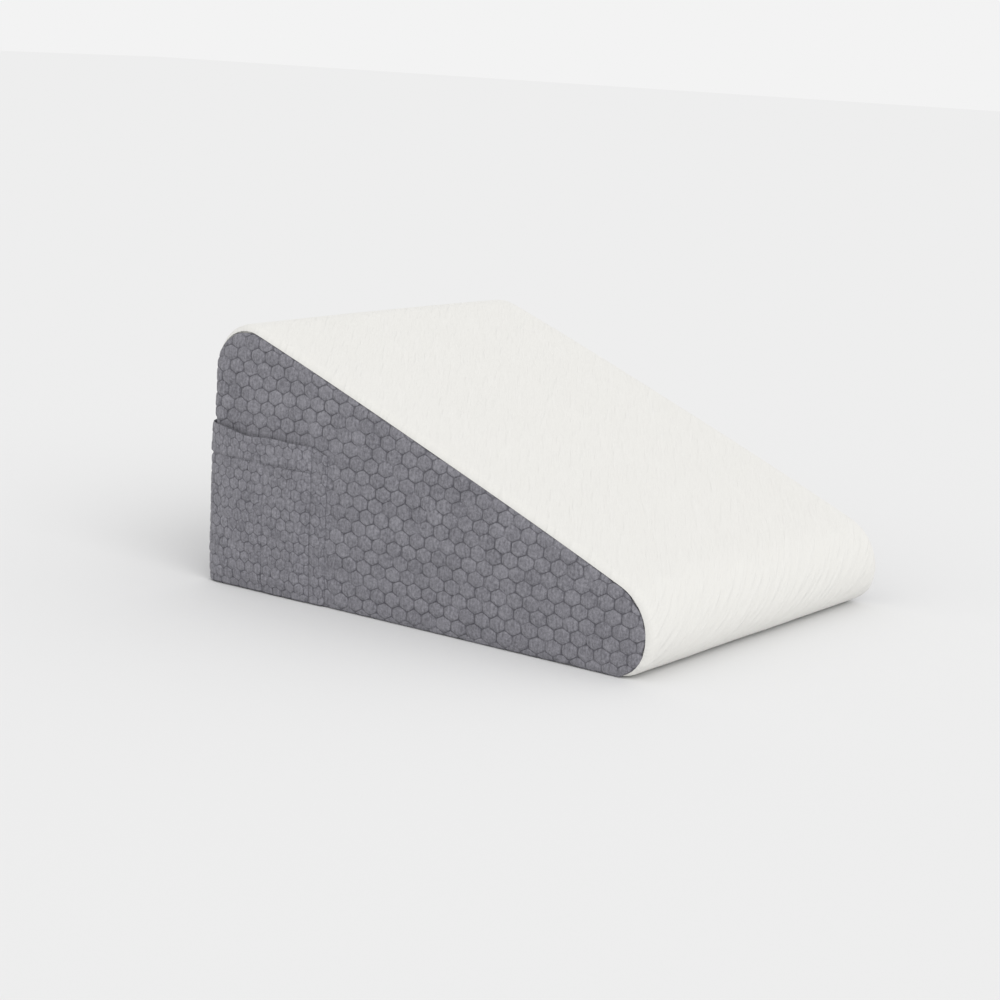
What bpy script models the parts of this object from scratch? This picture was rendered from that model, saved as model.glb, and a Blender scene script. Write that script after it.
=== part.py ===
"""Wedge pillow, 610 x 500 x 300 mm, modelled in its own frame.

+X runs from the tall back to the low nose, +Y across the width, +Z up. The origin is the middle of
the footprint on the surface that the pillow rests on. The filled wedge wears its white knit cover as
its skin. Two quilted side panels and a quilted back panel lie in a shallow recess round it, a plain
base panel closes it below, and a quilted patch pocket is sewn round one back corner.
"""
import math

import bmesh
import bpy
from mathutils import Vector
from mathutils.geometry import convex_hull_2d

# overall form, in metres
LENGTH = 0.610
SEAM_WIDTH = 0.495
BACK_HEIGHT = 0.3236
NOSE_HEIGHT = 0.0838
TOP_BACK_RADIUS = 0.050
NOSE_TOP_RADIUS = 0.058
NOSE_FOOT_RADIUS = 0.042
BACK_FOOT_RADIUS = 0.008
EDGE_BOW = 0.0058
CROWN = 0.0095
FOOT_LIFT = 0.0006

# how far the white skin rolls over each edge before it meets the flank
SLOPE_ROLL = 0.010
CORNER_RADIUS = 0.0175
FOOT_ROLL = 0.006
ROLL_STATIONS = (0.0, 0.0008, 0.0024, 0.005, 0.009, 0.0145)
CROWN_STATIONS = (0.0, 0.35, 0.65, 0.86)

# quilted panels
CLEARANCE = 0.0003
RIM_CLEARANCE = 0.0005
PANEL_THICKNESS = 0.003
PANEL_CROWN = 0.0025
PUFF = 0.0018
CELL_WIDTH = 0.020
ROW_STEP = 0.0143
SEAM_INSET = 0.0065
SEAM_DRAW = 0.0012
DRAW_REACH = 0.006
CROWN_REACH = 0.10
PANEL_FOOT = 0.0008
PANEL_NOSE_TOP_RADIUS = 0.051
PANEL_NOSE_FOOT_RADIUS = 0.039
BACK_SEAM_HEIGHT = 0.2475
CORNER_STEPS = 4
SMALLEST_EDGE = 0.0006
SMALLEST_CELL_SHARE = 0.004

# base panel
BASE_THICKNESS = 0.002
BASE_MARGIN = 0.012
BASE_NOSE_MARGIN = 0.044
BASE_CORNER_RADIUS = 0.012

# patch pocket, along the wall from the vertical back seam and up from the surface
POCKET_CREASE = 0.098
POCKET_STITCH = 0.166
POCKET_FRONT = 0.192
POCKET_FOOT = 0.0014
HEM_STITCH = 0.150
MOUTH_BACK = 0.1875
MOUTH_FRONT = 0.1775
STRIP_TOP = 0.172
POCKET_CELL_WIDTH = 0.0135
POCKET_ROW_STEP = 0.0118
POCKET_CLOTH = 0.0015
POCKET_PUFF = 0.0010
HEM_EXTRA = 0.0008
POCKET_GAP = 0.0056
POCKET_CORNER_GAP = 0.0022
GAP_RAMP = 0.018
STITCH_PINCH = 0.0012

# colours of the cloths
WHITE_KNIT = (0.84, 0.83, 0.80, 1.0)
GREY_QUILT = (0.165, 0.163, 0.185, 1.0)
GREY_PLAIN = (0.15, 0.15, 0.165, 1.0)

HALF_LENGTH = LENGTH / 2
HALF_WIDTH = SEAM_WIDTH / 2
CORNER_ARC = CORNER_RADIUS * math.pi / 2
SLOPE_FALL = (BACK_HEIGHT - NOSE_HEIGHT) / LENGTH
SLOPE_LENGTH = math.hypot(1.0, SLOPE_FALL)
WALL_LENGTH = CORNER_ARC + LENGTH - CORNER_RADIUS - SEAM_INSET
FLAT_BACK = HALF_WIDTH - CORNER_RADIUS


def clear_scene():
    """Removes every object of the open scene."""
    for obj in list(bpy.data.objects):
        bpy.data.objects.remove(obj, do_unlink=True)


def cloth_material(name, colour, roughness):
    """Makes a cloth material with one colour and roughness."""
    material = bpy.data.materials.new(name)
    material.use_nodes = True
    shader = material.node_tree.nodes["Principled BSDF"]
    shader.inputs["Base Color"].default_value = colour
    shader.inputs["Roughness"].default_value = roughness
    shader.inputs["Metallic"].default_value = 0.0
    return material


def object_from(mesh_builder, name, material):
    """Turns a bmesh into a named object at the origin with outward faces."""
    bmesh.ops.recalc_face_normals(mesh_builder, faces=mesh_builder.faces)
    if mesh_builder.calc_volume(signed=True) < 0.0:
        bmesh.ops.reverse_faces(mesh_builder, faces=mesh_builder.faces)
    mesh = bpy.data.meshes.new(name)
    mesh_builder.to_mesh(mesh)
    mesh_builder.free()
    if material is not None:
        mesh.materials.append(material)
    obj = bpy.data.objects.new(name, mesh)
    bpy.context.scene.collection.objects.link(obj)
    return obj


def rounded_outline(corners):
    """Rounds each (x, z, radius, steps) corner of a counter-clockwise outline.

    Returns points as (x, z, normal_x, normal_z, corner_index), with one index per corner.
    """
    points = []
    count = len(corners)
    for index, (x, z, radius, steps) in enumerate(corners):
        corner = Vector((x, z))
        before = Vector(corners[index - 1][:2]) - corner
        after = Vector(corners[(index + 1) % count][:2]) - corner
        before.normalize()
        after.normalize()
        half_angle = before.angle(after) / 2
        centre = corner + (before + after).normalized() * (radius / math.sin(half_angle))
        start = (corner + before * (radius / math.tan(half_angle)) - centre)
        turn = math.pi - 2 * half_angle
        for step in range(steps + 1):
            angle = turn * step / steps
            cosine, sine = math.cos(angle), math.sin(angle)
            arm = Vector((start.x * cosine - start.y * sine, start.x * sine + start.y * cosine))
            normal = arm.normalized()
            points.append((centre.x + arm.x, centre.y + arm.y, normal.x, normal.y, index))
    return points


def filled_edges(points, cuts):
    """Adds evenly spaced points on the straight edge that follows each corner index in cuts."""
    result = []
    count = len(points)
    for index, point in enumerate(points):
        result.append(point)
        following = points[(index + 1) % count]
        if following[4] != point[4] and cuts.get(point[4]):
            parts = cuts[point[4]]
            for part in range(1, parts):
                share = part / parts
                blend = [a + (b - a) * share for a, b in zip(point[:4], following[:4])]
                result.append((*blend, point[4]))
    return result


def slope_bow(x, amount):
    """Height by which the slope swells between its two ends, with a broad flat middle."""
    along = min(1.0, max(0.0, (x + HALF_LENGTH) / LENGTH))
    return amount * (1.0 - abs(2.0 * along - 1.0) ** 2.6)


def wedge_profile():
    """Side outline of the white body, counter-clockwise from the foot of the back."""
    corners = [
        (-HALF_LENGTH, FOOT_LIFT, BACK_FOOT_RADIUS, 3),
        (HALF_LENGTH, FOOT_LIFT, NOSE_FOOT_RADIUS, 7),
        (HALF_LENGTH, NOSE_HEIGHT, NOSE_TOP_RADIUS, 7),
        (-HALF_LENGTH, BACK_HEIGHT, TOP_BACK_RADIUS, 9),
    ]
    return filled_edges(rounded_outline(corners), {0: 5, 1: 2, 2: 12, 3: 5})


def roll_radius(normal_x, normal_z):
    """Radius of the roll at the flank for a profile point with this normal."""
    if normal_z < -0.3:
        return FOOT_ROLL
    backward = max(0.0, -normal_x) ** 2
    return SLOPE_ROLL + (CORNER_RADIUS - SLOPE_ROLL) * backward


def roll_inset(distance, radius):
    """Inset of the outline at this distance from the flank."""
    if distance >= radius:
        return 0.0
    return radius - math.sqrt(radius ** 2 - (radius - distance) ** 2)


def make_wedge_body(material):
    """Lofts the side outline across the width, with rolled edges and a crowned slope."""
    profile = wedge_profile()
    stations = [HALF_WIDTH - distance for distance in ROLL_STATIONS]
    stations += [share * (HALF_WIDTH - ROLL_STATIONS[-1]) for share in reversed(CROWN_STATIONS)]
    stations = sorted(set(stations) | {-station for station in stations})
    builder = bmesh.new()
    rings = []
    for across in stations:
        distance = HALF_WIDTH - abs(across)
        bow = EDGE_BOW + (CROWN - EDGE_BOW) * (1.0 - (across / HALF_WIDTH) ** 2)
        ring = []
        for x, z, normal_x, normal_z, _ in profile:
            inset = roll_inset(distance, roll_radius(normal_x, normal_z))
            rise = slope_bow(x, bow) * max(0.0, normal_z)
            place = (x - normal_x * inset, across, z - normal_z * inset + rise)
            ring.append(builder.verts.new(place))
        rings.append(ring)
    count = len(profile)
    for first, second in zip(rings, rings[1:]):
        for index in range(count):
            following = (index + 1) % count
            builder.faces.new((first[index], first[following], second[following], second[index]))
    builder.faces.new(rings[0])
    builder.faces.new(reversed(rings[-1]))
    return object_from(builder, "wedge_cushion", material)


def side_outline(grow=0.0):
    """Outline of a side panel laid flat, as (along, up) points, counter-clockwise.

    Along runs from the vertical back seam round the corner to the nose. The outline is grown
    outwards by grow, except at the back seam.
    """
    nose = WALL_LENGTH
    along_origin = CORNER_ARC - CORNER_RADIUS
    slope_inset = SEAM_INSET * SLOPE_LENGTH

    def slope_height(along):
        x = along - along_origin - HALF_LENGTH
        return NOSE_HEIGHT + (HALF_LENGTH - x) * SLOPE_FALL - slope_inset

    back_line = along_origin + SEAM_INSET
    corners = [
        (back_line, PANEL_FOOT, 0.0002, 1),
        (nose, PANEL_FOOT, PANEL_NOSE_FOOT_RADIUS, 7),
        (nose, slope_height(nose), PANEL_NOSE_TOP_RADIUS, 7),
        (back_line, slope_height(back_line), TOP_BACK_RADIUS - SEAM_INSET, 9),
    ]
    outline = [(0.0, BACK_SEAM_HEIGHT + grow), (0.0, PANEL_FOOT - grow)]
    for along, up, normal_x, normal_z, _ in filled_edges(rounded_outline(corners), {2: 12}):
        if along > CORNER_ARC:
            up += slope_bow(along - along_origin - HALF_LENGTH, EDGE_BOW) * max(0.0, normal_z)
            outline.append((along + normal_x * grow, up + normal_z * grow))
    return [outline[index] for index in convex_hull_2d(outline)]


def clip_to(polygon, outline):
    """Cuts a polygon by each edge of a convex counter-clockwise outline."""
    result = polygon
    count = len(outline)
    for index in range(count):
        ax, ay = outline[index]
        bx, by = outline[(index + 1) % count]
        length = math.hypot(bx - ax, by - ay)
        if length < 1e-7:
            continue
        kept = []
        for (px, py), (qx, qy) in zip(result, result[1:] + result[:1]):
            side_p = ((bx - ax) * (py - ay) - (by - ay) * (px - ax)) / length
            side_q = ((bx - ax) * (qy - ay) - (by - ay) * (qx - ax)) / length
            if side_p >= 0.0:
                kept.append((px, py))
            if side_p * side_q < 0.0:
                share = side_p / (side_p - side_q)
                kept.append((px + (qx - px) * share, py + (qy - py) * share))
        result = kept
        if len(result) < 3:
            return []
    return result


def honeycomb(outline, cell_width, row_step, start=(0.0, 0.0)):
    """Lists the honeycomb cells inside a convex outline, clipped to it."""
    lowest_x = min(x for x, _ in outline)
    highest_x = max(x for x, _ in outline)
    lowest_y = min(y for _, y in outline)
    highest_y = max(y for _, y in outline)
    tip = row_step * 2 / 3
    shoulder = row_step / 3
    half = cell_width / 2
    corners = ((half, -shoulder), (half, shoulder), (0, tip), (-half, shoulder), (-half, -shoulder), (0, -tip))
    first_row = math.floor((lowest_y - start[1]) / row_step) - 1
    last_row = math.ceil((highest_y - start[1]) / row_step) + 1
    first_column = math.floor((lowest_x - start[0]) / cell_width) - 1
    last_column = math.ceil((highest_x - start[0]) / cell_width) + 1
    cells = []
    for row in range(first_row, last_row + 1):
        for column in range(first_column, last_column + 1):
            centre_x = start[0] + (column + 0.5 * (row % 2)) * cell_width
            centre_y = start[1] + row * row_step
            cell = clip_to([(centre_x + x, centre_y + y) for x, y in corners], outline)
            if len(cell) >= 3:
                cells.append(cell)
    return cells


def area_and_centre(polygon):
    """Area and centroid of a flat polygon."""
    area = 0.0
    centre_x = 0.0
    centre_y = 0.0
    for (px, py), (qx, qy) in zip(polygon, polygon[1:] + polygon[:1]):
        cross = px * qy - qx * py
        area += cross / 2
        centre_x += (px + qx) * cross / 6
        centre_y += (py + qy) * cross / 6
    return area, (centre_x / area, centre_y / area)


def flat_pattern(cells, full_area):
    """Lays the cells out as flat faces that share their corners: x along, y up the wall."""
    builder = bmesh.new()
    for cell in cells:
        area, _ = area_and_centre(cell)
        if area > full_area * SMALLEST_CELL_SHARE:
            builder.faces.new([builder.verts.new((x, y, 0.0)) for x, y in cell])
    bmesh.ops.remove_doubles(builder, verts=builder.verts, dist=SMALLEST_EDGE)
    return builder


def raise_cells(builder, faces, height_at, puff_at, full_area):
    """Lifts flat cells to the height of the cloth and puffs each one up in its middle."""
    puffs = []
    for face in faces:
        centre = face.calc_center_median()
        share = min(1.0, math.sqrt(face.calc_area() / full_area))
        puffs.append((face, puff_at(centre.x, centre.y) * share))
    for vertex in {vertex for face in faces for vertex in face.verts}:
        vertex.co.z = height_at(vertex.co.x, vertex.co.y)
    for face, puff in puffs:
        if puff > 0.0:
            top = bmesh.ops.poke(builder, faces=[face])["verts"][0]
            top.co.z = height_at(top.co.x, top.co.y) + puff


def close_flat_below(builder, level):
    """Walls the open rim of the flat pattern down to one level face and closes it."""
    rim = [edge for edge in builder.edges if edge.is_boundary]
    walls = bmesh.ops.extrude_edge_only(builder, edges=rim)["geom"]
    lower = [item for item in walls if isinstance(item, bmesh.types.BMVert)]
    for vertex in lower:
        vertex.co.z = level
    bottom_edges = [edge for edge in builder.edges if edge.is_boundary]
    bmesh.ops.edgeloop_fill(builder, edges=bottom_edges)


def close_with_copy(builder, level_at):
    """Copies the flat pattern to the level of its inner face and walls the two rims together."""
    rim = [edge for edge in builder.edges if edge.is_boundary]
    everything = builder.verts[:] + builder.edges[:] + builder.faces[:]
    partner = bmesh.ops.duplicate(builder, geom=everything)["vert_map"]
    for edge in rim:
        first, second = edge.verts
        builder.faces.new((first, second, partner[second], partner[first]))
    for vertex in everything:
        if isinstance(vertex, bmesh.types.BMVert):
            partner[vertex].co.z = level_at(vertex.co.x, vertex.co.y)


def bend_round_corner(builder, side):
    """Cuts the flat pattern at the corner's steps and bends it round the back corner.

    side is -1 for the near flank and 1 for the far one.
    """
    for step in range(1, CORNER_STEPS + 1):
        along = CORNER_ARC * step / CORNER_STEPS
        everything = list(builder.verts) + list(builder.edges) + list(builder.faces)
        bmesh.ops.bisect_plane(
            builder, geom=everything, dist=0.00002, plane_co=(along, 0.0, 0.0), plane_no=(1.0, 0.0, 0.0)
        )
    for vertex in builder.verts:
        vertex.co = wall_point(vertex.co.x, vertex.co.y, vertex.co.z, side)


def wall_point(along, up, outward, side):
    """Point on the wall: along from the vertical back seam, up from the surface, outward from the seam plane."""
    if along < CORNER_ARC:
        turn = along / CORNER_RADIUS
        reach = CORNER_RADIUS + outward
        x = -HALF_LENGTH + CORNER_RADIUS - reach * math.cos(turn)
        y = FLAT_BACK + reach * math.sin(turn)
        return Vector((x, side * y, up))
    return Vector((along - CORNER_ARC + CORNER_RADIUS - HALF_LENGTH, side * (HALF_WIDTH + outward), up))


def edge_distance(x, y, outline):
    """Distance from a point to the nearest edge of a convex outline."""
    nearest = 1.0
    for (ax, ay), (bx, by) in zip(outline, outline[1:] + outline[:1]):
        length = math.hypot(bx - ax, by - ay)
        if length > 1e-7:
            nearest = min(nearest, ((bx - ax) * (y - ay) - (by - ay) * (x - ax)) / length)
    return max(0.0, nearest)


def ease(value):
    """Smooth step from 0 to 1."""
    value = min(1.0, max(0.0, value))
    return value * value * (3.0 - 2.0 * value)


def panel_crown(x, y, outline):
    """Swell of a panel towards its middle."""
    return PANEL_CROWN * ease(edge_distance(x, y, outline) / CROWN_REACH)


def panel_height(x, y, outline):
    """Outer face of a panel: drawn in at its seams and crowned in its middle."""
    draw = SEAM_DRAW * (1.0 - ease(edge_distance(x, y, outline) / DRAW_REACH))
    return panel_crown(x, y, outline) - draw


def make_side_panel(name, side, material, under_pocket):
    """Quilts one side panel in the flat and bends its back end round the corner."""
    outline = side_outline()
    cells = honeycomb(outline, CELL_WIDTH, ROW_STEP, (0.004, 0.006))

    def puff_at(x, y):
        covered = under_pocket and x < POCKET_FRONT + CELL_WIDTH * 0.55 and y < MOUTH_FRONT + ROW_STEP * 1.2
        return 0.0 if covered else PUFF

    full_area = CELL_WIDTH * ROW_STEP
    builder = flat_pattern(cells, full_area)
    raise_cells(builder, builder.faces[:], lambda x, y: panel_height(x, y, outline), puff_at, full_area)
    close_flat_below(builder, -PANEL_THICKNESS)
    bend_round_corner(builder, side)
    return object_from(builder, name, material)


def make_back_panel(material):
    """Quilts the back panel between the two vertical back seams."""
    half = FLAT_BACK - CLEARANCE * 2
    outline = [(-half, PANEL_FOOT), (half, PANEL_FOOT), (half, BACK_SEAM_HEIGHT), (-half, BACK_SEAM_HEIGHT)]
    cells = honeycomb(outline, CELL_WIDTH, ROW_STEP, (0.0, 0.006))
    full_area = CELL_WIDTH * ROW_STEP
    builder = flat_pattern(cells, full_area)
    raise_cells(builder, builder.faces[:], lambda x, y: panel_height(x, y, outline), lambda x, y: PUFF, full_area)
    close_flat_below(builder, -PANEL_THICKNESS)
    for vertex in builder.verts:
        across, up, outward = vertex.co
        vertex.co = Vector((-HALF_LENGTH - outward, across, up))
    return object_from(builder, "back_panel", material)


def make_panel_cutter():
    """Shapes the recess that the side and back panels lie in: their outlines, grown by the clearance."""
    builder = bmesh.new()
    floor_depth = -PANEL_THICKNESS - CLEARANCE
    reach = 0.02
    outline = [(x, y) for x, y in side_outline(RIM_CLEARANCE) if x > 0.001]
    top_back = BACK_SEAM_HEIGHT + RIM_CLEARANCE * 1.5
    foot = -0.01
    outline = [(x, foot if y < PANEL_FOOT + 0.0001 else y) for x, y in outline]
    first = [(0.0, foot)] + outline + [(0.0, top_back)]
    inner = [builder.verts.new((x, y, floor_depth)) for x, y in first]
    outer = [builder.verts.new((x, y, reach)) for x, y in first]
    count = len(first)
    for index in range(count):
        following = (index + 1) % count
        if index == count - 1:
            continue
        builder.faces.new((inner[index], inner[following], outer[following], outer[index]))
    builder.faces.new(reversed(inner))
    builder.faces.new(outer)
    bend_round_corner(builder, -1)
    mirrored = bmesh.ops.duplicate(builder, geom=builder.verts[:] + builder.edges[:] + builder.faces[:])
    for item in mirrored["geom"]:
        if isinstance(item, bmesh.types.BMVert):
            item.co.y = -item.co.y
    ends = [edge for edge in builder.edges if edge.is_boundary]
    bmesh.ops.bridge_loops(builder, edges=ends)
    return object_from(builder, "panel_recess_cutter", None)


def base_outline(grow=0.0):
    """Outline of the base panel on the surface."""
    west = -HALF_LENGTH + BASE_MARGIN - grow
    east = HALF_LENGTH - BASE_NOSE_MARGIN + grow
    north = HALF_WIDTH - BASE_MARGIN + grow
    corners = [(west, -north), (east, -north), (east, north), (west, north)]
    return [(x, y) for x, y, *_ in rounded_outline([(*corner, BASE_CORNER_RADIUS, 4) for corner in corners])]


def make_base(name, grow, low, high, material):
    """Extrudes the base outline from one height to another."""
    builder = bmesh.new()
    face = builder.faces.new([builder.verts.new((x, y, low)) for x, y in base_outline(grow)])
    raised = bmesh.ops.extrude_face_region(builder, geom=[face])["geom"]
    for item in raised:
        if isinstance(item, bmesh.types.BMVert):
            item.co.z = high
    return object_from(builder, name, material)


def hide_cutter(obj):
    """Marks an object as a cutter."""
    obj.hide_render = True
    obj.display_type = "WIRE"


def cut(target, cutter):
    """Subtracts a cutter from a target."""
    modifier = target.modifiers.new("recess for " + cutter.name, "BOOLEAN")
    modifier.operation = "DIFFERENCE"
    modifier.solver = "EXACT"
    modifier.object = cutter


def pocket_regions():
    """Parts of the pocket between its stitch lines, laid flat, each a convex outline."""
    mouth_fall = (MOUTH_BACK - MOUTH_FRONT) / POCKET_STITCH

    def mouth_height(along):
        return MOUTH_BACK - mouth_fall * along

    columns = ((CLEARANCE, POCKET_CREASE), (POCKET_CREASE, POCKET_STITCH), (POCKET_STITCH, POCKET_FRONT))
    tops = (
        (mouth_height(0.0), mouth_height(POCKET_CREASE)),
        (mouth_height(POCKET_CREASE), MOUTH_FRONT),
        (MOUTH_FRONT, STRIP_TOP),
    )
    regions = []
    for (west, east), (top_west, top_east) in zip(columns, tops):
        regions.append([(west, POCKET_FOOT), (east, POCKET_FOOT), (east, HEM_STITCH), (west, HEM_STITCH)])
        regions.append([(west, HEM_STITCH), (east, HEM_STITCH), (east, top_east), (west, top_west)])
    return regions


def pocket_gap(x, y):
    """Hollow between the pocket's cloth and the side panel."""
    from_front = ease((POCKET_STITCH - x) / GAP_RAMP)
    from_foot = ease((y - POCKET_FOOT) / GAP_RAMP)
    flat_share = ease((x - CORNER_ARC * 0.8) / GAP_RAMP)
    from_back = ease(x / (CORNER_ARC * 0.6))
    width = POCKET_CORNER_GAP * from_back + (POCKET_GAP - POCKET_CORNER_GAP) * flat_share
    return CLEARANCE + width * from_front * from_foot


def make_pocket(material, outline):
    """Quilts the patch pocket with its hem, crease and stitched front strip, and bends it round the corner."""

    def inner_height(x, y):
        return panel_crown(x, y, outline) + pocket_gap(x, y)

    def near_stitch(x, y):
        lines = (abs(y - HEM_STITCH), abs(x - POCKET_STITCH), abs(x - POCKET_FRONT))
        crease = abs(x - POCKET_CREASE) if y < HEM_STITCH else 1.0
        return 1.0 - ease(min(min(lines), crease) / 0.004)

    def outer_height(x, y):
        hem = HEM_EXTRA * ease((y - HEM_STITCH) / 0.004)
        return inner_height(x, y) + POCKET_CLOTH + hem - STITCH_PINCH * 0.6 * near_stitch(x, y)

    def puff_at(x, y):
        return POCKET_PUFF * (0.6 if x > POCKET_STITCH else 1.0)

    cells = []
    for region in pocket_regions():
        cells += honeycomb(region, POCKET_CELL_WIDTH, POCKET_ROW_STEP, (0.003, 0.004))
    full_area = POCKET_CELL_WIDTH * POCKET_ROW_STEP
    builder = flat_pattern(cells, full_area)
    outer_faces = builder.faces[:]
    close_with_copy(builder, inner_height)
    raise_cells(builder, outer_faces, outer_height, puff_at, full_area)
    bend_round_corner(builder, -1)
    return object_from(builder, "side_pocket", material)


def main():
    """Builds every piece of the pillow."""
    clear_scene()
    white = cloth_material("white_knit", WHITE_KNIT, 0.85)
    quilt = cloth_material("grey_quilt", GREY_QUILT, 0.9)
    plain = cloth_material("grey_plain", GREY_PLAIN, 0.9)
    body = make_wedge_body(white)
    cutters = [make_panel_cutter(), make_base("base_recess_cutter", CLEARANCE, -0.01, BASE_THICKNESS + CLEARANCE, None)]
    for cutter in cutters:
        hide_cutter(cutter)
        cut(body, cutter)
    make_side_panel("side_panel_near", -1, quilt, True)
    make_side_panel("side_panel_far", 1, quilt, False)
    make_back_panel(quilt)
    make_base("base_panel", 0.0, 0.0, BASE_THICKNESS, plain)
    make_pocket(quilt, side_outline())


main()
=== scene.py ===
"""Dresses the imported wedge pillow: knit cover, quilted panels, patch pocket, base cloth and their threads.

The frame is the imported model's own: +X runs to the low nose, +Y across the width, +Z up, in metres, with
the origin in the middle of the footprint. The wall cloths are laid out flat first, as along, up and outward
distances from the seam plane, and then wrapped round the near flank, the back and the far flank.
"""
import logging
import math
from dataclasses import dataclass, field
from enum import Enum
from typing import Sequence, Union

import bmesh
import bpy
import numpy as np
from mathutils import Matrix, Vector, noise


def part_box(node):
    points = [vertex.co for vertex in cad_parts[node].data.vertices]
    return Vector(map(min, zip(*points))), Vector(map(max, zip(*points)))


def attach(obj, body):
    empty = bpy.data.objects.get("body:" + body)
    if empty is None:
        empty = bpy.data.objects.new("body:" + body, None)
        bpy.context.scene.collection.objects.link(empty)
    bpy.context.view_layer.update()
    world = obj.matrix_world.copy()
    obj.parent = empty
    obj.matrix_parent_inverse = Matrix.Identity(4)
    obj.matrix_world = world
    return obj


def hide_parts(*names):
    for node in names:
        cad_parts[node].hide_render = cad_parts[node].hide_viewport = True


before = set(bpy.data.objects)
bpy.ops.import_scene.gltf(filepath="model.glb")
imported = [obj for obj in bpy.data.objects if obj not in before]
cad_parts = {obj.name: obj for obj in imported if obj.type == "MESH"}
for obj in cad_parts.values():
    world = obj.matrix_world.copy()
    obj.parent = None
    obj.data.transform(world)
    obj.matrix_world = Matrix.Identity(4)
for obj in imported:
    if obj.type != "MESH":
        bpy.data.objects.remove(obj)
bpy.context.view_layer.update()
LOG = logging.getLogger("wedge_pillow")

Point = tuple[float, float]
Outline = list[Point]


def ease(value: np.ndarray) -> np.ndarray:
    """Smooth step from 0 to 1."""
    held = np.clip(value, 0.0, 1.0)
    return held * held * (3.0 - 2.0 * held)


def uneven(points: np.ndarray, size: float, seed: float) -> np.ndarray:
    """Smooth unevenness over a surface.

    Args:
        points: Places, one row each.
        size: Width of one rise or hollow, in metres.
        seed: Offset that picks another pattern.

    Returns:
        One value from about -1 to 1 for each place.
    """
    scaled = points / size
    return np.array([noise.noise(Vector((x + seed, y - seed, z + 0.5 * seed))) for x, y, z in scaled.tolist()])


def places_of(mesh: bpy.types.Mesh) -> np.ndarray:
    """Vertex places of a mesh, one row each."""
    flat = np.empty(len(mesh.vertices) * 3)
    mesh.vertices.foreach_get("co", flat)
    return flat.reshape(-1, 3)


def move_to(mesh: bpy.types.Mesh, places: np.ndarray) -> None:
    """Moves every vertex of a mesh to its new place."""
    mesh.vertices.foreach_set("co", np.ascontiguousarray(places).ravel())
    mesh.update()


def deselect_all() -> None:
    """Leaves object mode with nothing selected."""
    if bpy.context.object is not None and bpy.context.object.mode != "OBJECT":
        bpy.ops.object.mode_set(mode="OBJECT")
    bpy.ops.object.select_all(action="DESELECT")


def pick(obj: bpy.types.Object) -> None:
    """Makes one object the selected and active one."""
    deselect_all()
    obj.select_set(True)
    bpy.context.view_layer.objects.active = obj


def apply_modifier(obj: bpy.types.Object, kind: str, **settings: object) -> None:
    """Adds a modifier with its settings and applies it.

    Args:
        obj: The object to change.
        kind: The modifier's type.
        **settings: Values of the modifier's properties.
    """
    pick(obj)
    modifier = obj.modifiers.new(kind.lower(), kind)
    for name, value in settings.items():
        setattr(modifier, name, value)
    bpy.ops.object.modifier_apply(modifier=modifier.name)


def subdivide_smoothly(obj: bpy.types.Object) -> None:
    """Applies one level of a subdivision surface that keeps open rims where they are."""
    apply_modifier(obj, "SUBSURF", levels=1, render_levels=1, boundary_smooth="PRESERVE_CORNERS")


def finish_piece(obj: bpy.types.Object, material: bpy.types.Material, slot: str, *nodes: str) -> None:
    """Gives a piece its finish, shading and body, and hides the CAD nodes that it stands for.

    Args:
        obj: The finished piece.
        material: Its finish.
        slot: Not used.
        *nodes: The CAD nodes that it replaces.
    """
    obj.data.materials.clear()
    obj.data.materials.append(material)
    pick(obj)
    bpy.ops.object.shade_smooth_by_angle(angle=math.radians(60.0))
    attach(obj, "root")
    if nodes:
        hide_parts(*nodes)
    triangles = sum(len(face.vertices) - 2 for face in obj.data.polygons)
    LOG.info("%s: %d triangles", obj.name, triangles)


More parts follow.
